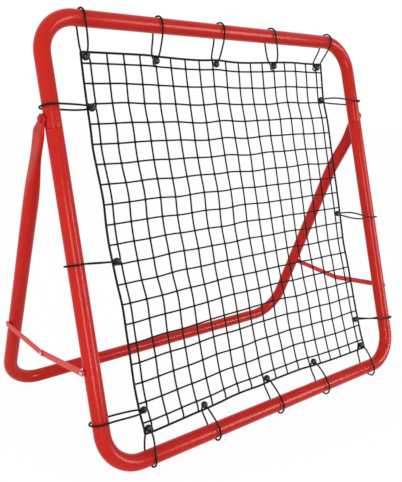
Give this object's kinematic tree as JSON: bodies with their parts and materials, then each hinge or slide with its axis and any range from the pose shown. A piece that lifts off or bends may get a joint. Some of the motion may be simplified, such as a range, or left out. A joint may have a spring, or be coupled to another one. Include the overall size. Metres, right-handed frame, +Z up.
{
  "type": "folding rebound net",
  "caption": "Leaning square tube frame holding a mesh net on elastic ball ties, with a folding U-shaped rear stand and jointed side stays.",
  "frame": {"origin": "middle of the whole object's footprint, on the floor", "axes": "+X to the right as the thrower faces the net's left-to-right, +Y to the rear (the net faces -Y), +Z up"},
  "size_m": [1.049, 0.5596, 0.9629],
  "materials": {
    "red_tube": "gloss powder coat",
    "red_bolt": "gloss powder coat",
    "stay_strip": "satin powder coat",
    "zinc": "bright zinc plate",
    "net_cord": "matt",
    "elastic": "matt woven elastic",
    "ball": "satin"
  },
  "bodies": {
    "front_frame": {"upper_frame": "red_tube", "lower_frame": "red_tube", "net": "net_cord", "tie_top_1_ball": "ball", "tie_top_1_loop": "elastic", "tie_top_2_ball": "ball", "tie_top_2_loop": "elastic", "tie_top_3_ball": "ball", "tie_top_3_loop": "elastic", "tie_top_4_ball": "ball", "tie_top_4_loop": "elastic", "tie_top_5_ball": "ball", "tie_top_5_loop": "elastic", "tie_bottom_1_ball": "ball", "tie_bottom_1_loop": "elastic", "tie_bottom_2_ball": "ball", "tie_bottom_2_loop": "elastic", "tie_bottom_3_ball": "ball", "tie_bottom_3_loop": "elastic", "tie_bottom_4_ball": "ball", "tie_bottom_4_loop": "elastic", "tie_bottom_5_ball": "ball", "tie_bottom_5_loop": "elastic", "tie_left_1_ball": "ball", "tie_left_1_loop": "elastic", "tie_left_2_ball": "ball", "tie_left_2_loop": "elastic", "tie_left_3_ball": "ball", "tie_left_3_loop": "elastic", "tie_right_1_ball": "ball", "tie_right_1_loop": "elastic", "tie_right_2_ball": "ball", "tie_right_2_loop": "elastic", "tie_right_3_ball": "ball", "tie_right_3_loop": "elastic", "pivot_bolt_left": "red_bolt", "pivot_washer_left": "red_bolt", "pivot_nut_left": "zinc", "stay_front_rivet_left": "zinc", "stay_front_spacer_left": "red_bolt", "pivot_bolt_right": "red_bolt", "pivot_washer_right": "red_bolt", "pivot_nut_right": "zinc", "stay_front_rivet_right": "zinc", "stay_front_spacer_right": "red_bolt"},
    "rear_stand": {"rear_stand": "red_tube", "stay_rear_rivet_left": "zinc", "stay_rear_spacer_left": "red_bolt", "stay_rear_rivet_right": "zinc", "stay_rear_spacer_right": "red_bolt"},
    "front_link_left": {"stay_front_link_left": "stay_strip"},
    "rear_link_left": {"stay_rear_link_left": "stay_strip", "stay_middle_rivet_left": "zinc"},
    "front_link_right": {"stay_front_link_right": "stay_strip"},
    "rear_link_right": {"stay_rear_link_right": "stay_strip", "stay_middle_rivet_right": "zinc"}
  },
  "joints": [
    {"name": "stand_fold", "type": "hinge", "parent": "front_frame", "child": "rear_stand", "pos_m": [0, -0.05499, 0.73262], "axis": [-1, 0, 0], "range_deg": [0, 29]},
    {"name": "front_link_turn_left", "type": "hinge", "parent": "front_frame", "child": "front_link_left", "pos_m": [-0.5053, -0.19833, 0.23276], "axis": [-1, 0, 0], "range_deg": [0, 93.6]},
    {"name": "rear_link_turn_left", "type": "hinge", "parent": "rear_stand", "child": "rear_link_left", "pos_m": [-0.5202, 0.17472, 0.22289], "axis": [-1, 0, 0], "range_deg": [-69.3, 0]},
    {"name": "front_link_turn_right", "type": "hinge", "parent": "front_frame", "child": "front_link_right", "pos_m": [0.5053, -0.19833, 0.23276], "axis": [-1, 0, 0], "range_deg": [0, 93.6]},
    {"name": "rear_link_turn_right", "type": "hinge", "parent": "rear_stand", "child": "rear_link_right", "pos_m": [0.5202, 0.17472, 0.22289], "axis": [-1, 0, 0], "range_deg": [-69.3, 0]}
  ],
  "couplings": [
    {"joint": "front_link_turn_left", "follows": "stand_fold", "ratio": 3.2273},
    {"joint": "rear_link_turn_left", "follows": "stand_fold", "ratio": -2.3867},
    {"joint": "front_link_turn_right", "follows": "stand_fold", "ratio": 3.2273},
    {"joint": "rear_link_turn_right", "follows": "stand_fold", "ratio": -2.3867}
  ]
}
